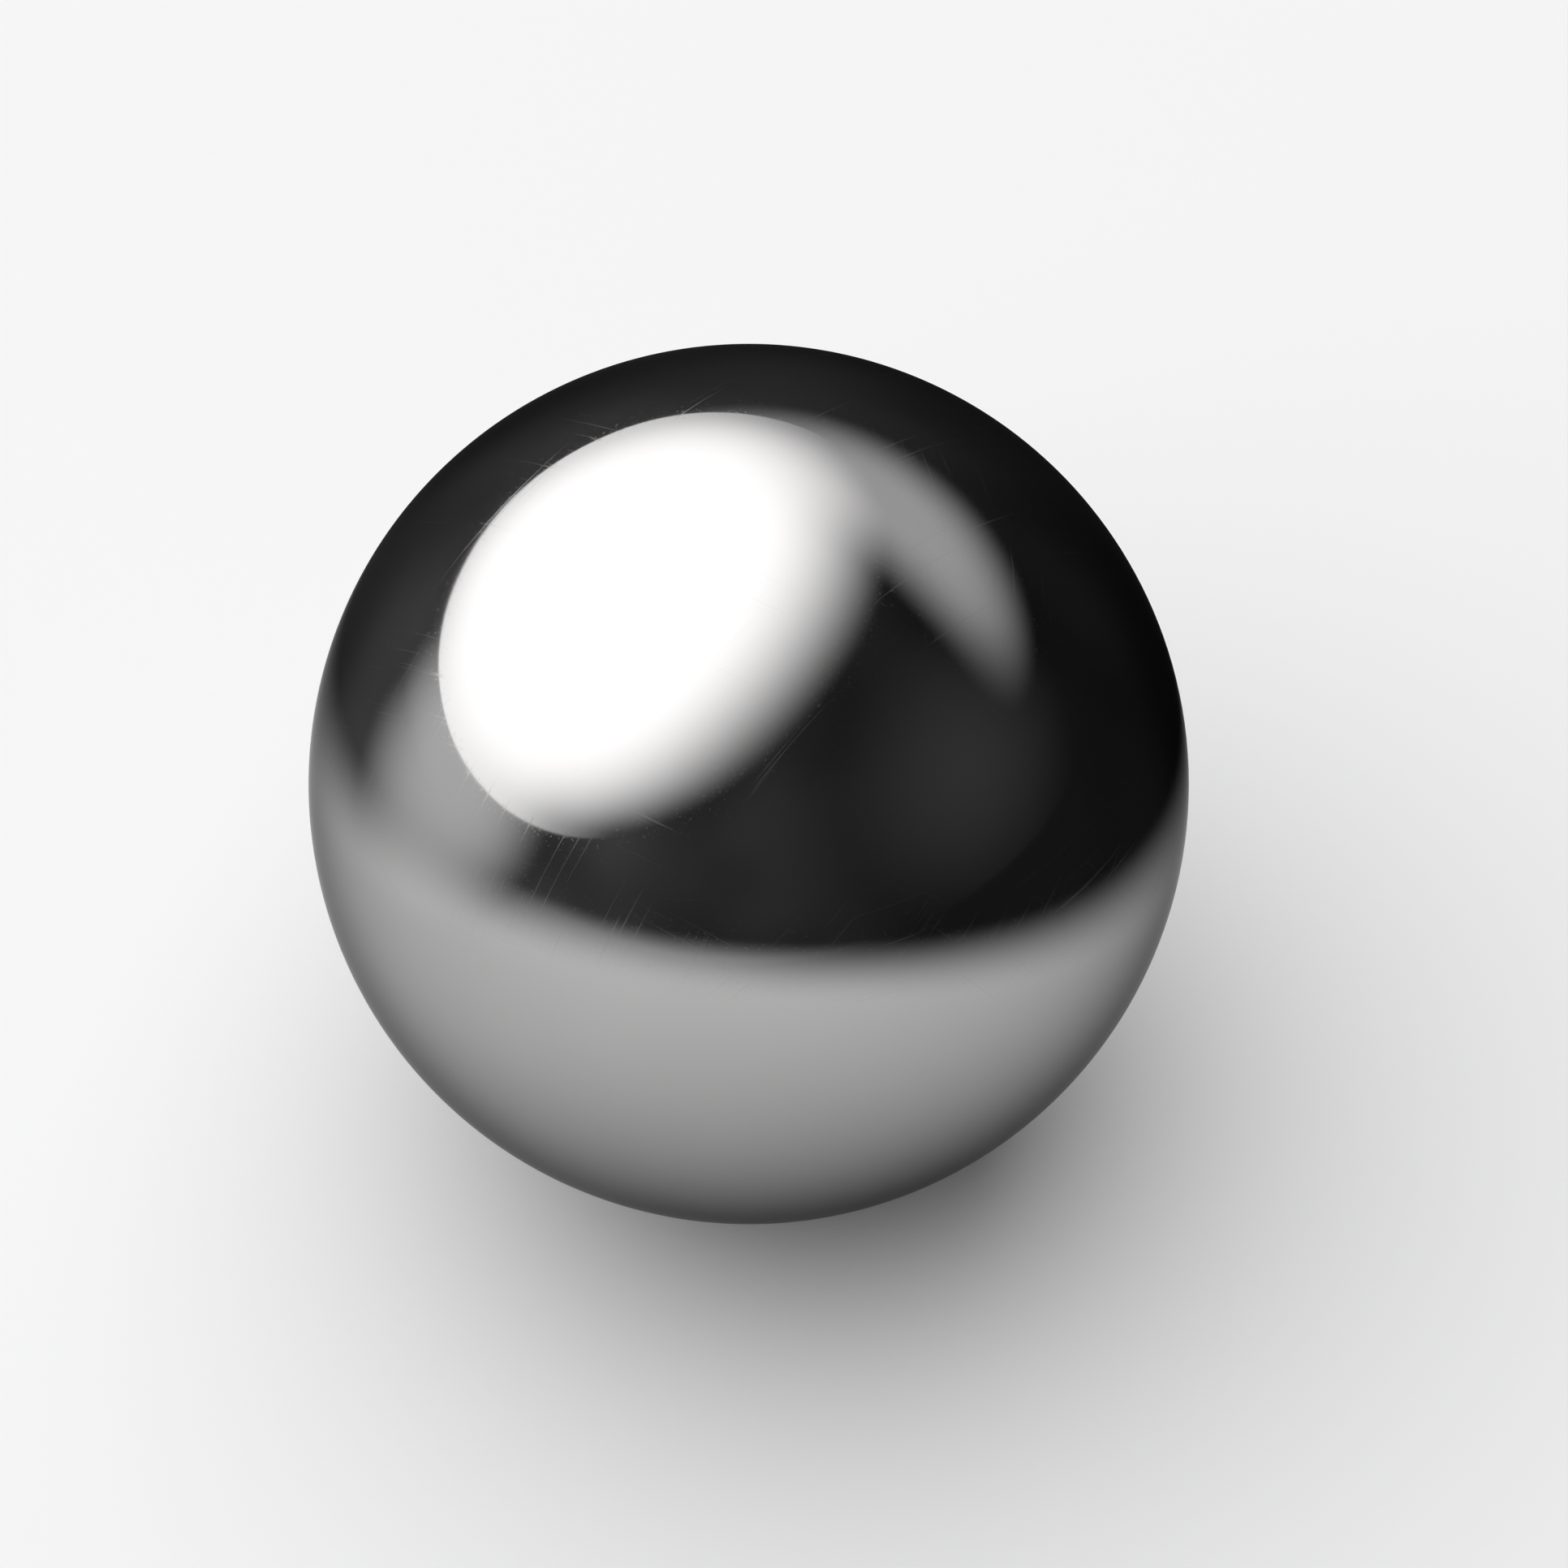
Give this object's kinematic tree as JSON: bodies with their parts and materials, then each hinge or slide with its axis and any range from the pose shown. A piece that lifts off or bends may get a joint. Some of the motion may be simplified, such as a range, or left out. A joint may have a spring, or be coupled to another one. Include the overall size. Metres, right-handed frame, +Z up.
{
  "type": "steel ball",
  "caption": "Solid mirror-polished steel ball; swirled loose with others in a bottle or decanter to scour it, or used wherever a small rolling ball is needed.",
  "frame": {"origin": "centre of the ball", "axes": "+Z up; the ball is the same about every axis through its centre"},
  "size_m": [0.004, 0.004, 0.004],
  "materials": {
    "polished_steel": "polished"
  },
  "bodies": {
    "root": {"ball": "polished_steel"}
  },
  "joints": []
}
